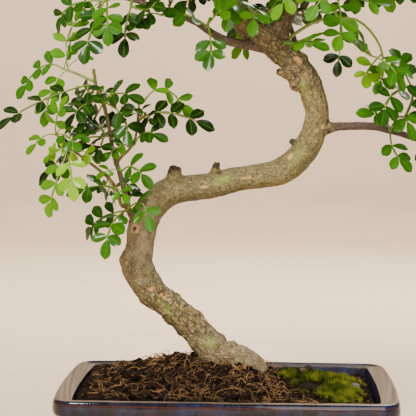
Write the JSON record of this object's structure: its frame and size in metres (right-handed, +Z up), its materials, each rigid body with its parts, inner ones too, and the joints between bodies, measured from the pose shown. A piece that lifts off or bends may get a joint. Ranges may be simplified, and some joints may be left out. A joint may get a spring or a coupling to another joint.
{
  "type": "japanese pepper bonsai",
  "caption": "Indoor bonsai with an S-shaped bare trunk and a crown of small pinnate leaves, growing from moss-topped soil in a low rectangular glazed pot on feet.",
  "frame": {"origin": "middle of the pot's footprint, on the surface that its feet stand on", "axes": "+Z up along the tree's height, +X along the pot's long side to the viewer's right, +Y away from the viewer"},
  "size_m": [0.3637, 0.2322, 0.4274],
  "materials": {
    "glaze": "gloss",
    "screen_plastic": "matte",
    "soil": "matte",
    "moss": "matte",
    "bark": "matte",
    "leaf_young": "satin",
    "leaf_green": "satin",
    "leaf_old": "satin",
    "granule_brown": "matte",
    "granule_red": "matte",
    "granule_grey": "matte"
  },
  "bodies": {
    "root": {"pot": "glaze", "drain_screen_west": "screen_plastic", "drain_screen_east": "screen_plastic", "soil": "soil", "moss": "moss", "wood": "bark", "fertiliser_pellet": "granule_brown", "clay_granule_red": "granule_red", "clay_granule_grey": "granule_grey", "leafy_spray_01": "leaf_old", "leafy_spray_02": "leaf_young", "leafy_spray_03": "leaf_green", "leafy_spray_04": "leaf_old", "leafy_spray_05": "leaf_young", "leafy_spray_06": "leaf_young", "leafy_spray_07": "leaf_green", "leafy_spray_08": "leaf_green", "leafy_spray_09": "leaf_green", "leafy_spray_10": "leaf_old", "leafy_spray_11": "leaf_green", "leafy_spray_12": "leaf_green", "leafy_spray_13": "leaf_green", "leafy_spray_14": "leaf_old", "leafy_spray_15": "leaf_green", "leafy_spray_16": "leaf_green", "leafy_spray_17": "leaf_green", "leafy_spray_18": "leaf_young", "leafy_spray_19": "leaf_green", "leafy_spray_20": "leaf_green", "leafy_spray_21": "leaf_old", "leafy_spray_22": "leaf_green", "leafy_spray_23": "leaf_green", "leafy_spray_24": "leaf_green", "leafy_spray_25": "leaf_green", "leafy_spray_26": "leaf_young", "leafy_spray_27": "leaf_green", "leafy_spray_28": "leaf_young", "leafy_spray_29": "leaf_old", "leafy_spray_30": "leaf_green", "leafy_spray_31": "leaf_young", "leafy_spray_32": "leaf_old", "leafy_spray_33": "leaf_old", "leafy_spray_34": "leaf_green", "leafy_spray_35": "leaf_green", "leafy_spray_36": "leaf_young", "leafy_spray_37": "leaf_old", "leafy_spray_38": "leaf_young", "leafy_spray_39": "leaf_old", "leafy_spray_40": "leaf_green", "leafy_spray_41": "leaf_young", "leafy_spray_42": "leaf_old", "leafy_spray_43": "leaf_green", "leafy_spray_44": "leaf_green", "leafy_spray_45": "leaf_young", "leafy_spray_46": "leaf_old", "leafy_spray_47": "leaf_young", "leafy_spray_48": "leaf_old", "leafy_spray_49": "leaf_green", "leafy_spray_50": "leaf_old", "leafy_spray_51": "leaf_green"}
  },
  "joints": []
}
